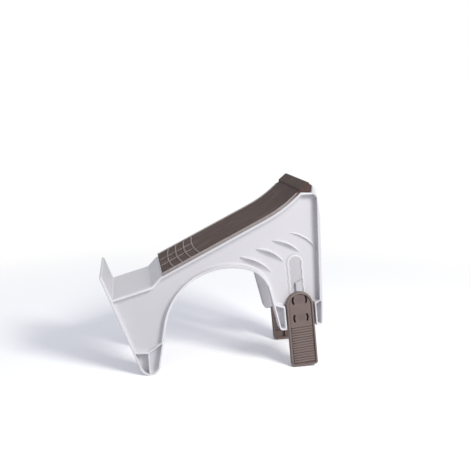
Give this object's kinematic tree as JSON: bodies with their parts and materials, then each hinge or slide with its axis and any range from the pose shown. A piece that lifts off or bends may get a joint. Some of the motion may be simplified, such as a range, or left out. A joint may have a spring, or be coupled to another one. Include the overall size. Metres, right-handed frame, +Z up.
{
  "type": "two-tier boot stand",
  "caption": "Open moulded stand with a sloping upper tray for one boot, a bay below it for the other, and sliding legs that set the toe height.",
  "frame": {"origin": "on the floor, at the centre of the stand's outer box", "axes": "+X along the stand from the low heel end to the raised toe end, +Y across the stand, +Z up"},
  "size_m": [0.2525, 0.106, 0.2157],
  "materials": {
    "grey_plastic": "satin moulded polypropylene",
    "mat_rubber": "dark brown soft grip moulding",
    "brown_plastic": "satin brown moulded plastic"
  },
  "bodies": {
    "stand": {"shell": "grey_plastic", "grip_mat": "mat_rubber"},
    "near_leg": {"near_slider": "brown_plastic"},
    "far_leg": {"far_slider": "brown_plastic"}
  },
  "joints": [
    {"name": "near_slide", "type": "slide", "parent": "stand", "child": "near_leg", "axis": [-0.1045, 0, 0.9945], "range_m": [0, 0.0424]},
    {"name": "far_slide", "type": "slide", "parent": "stand", "child": "far_leg", "axis": [-0.1045, 0, 0.9945], "range_m": [0, 0.0424]}
  ]
}
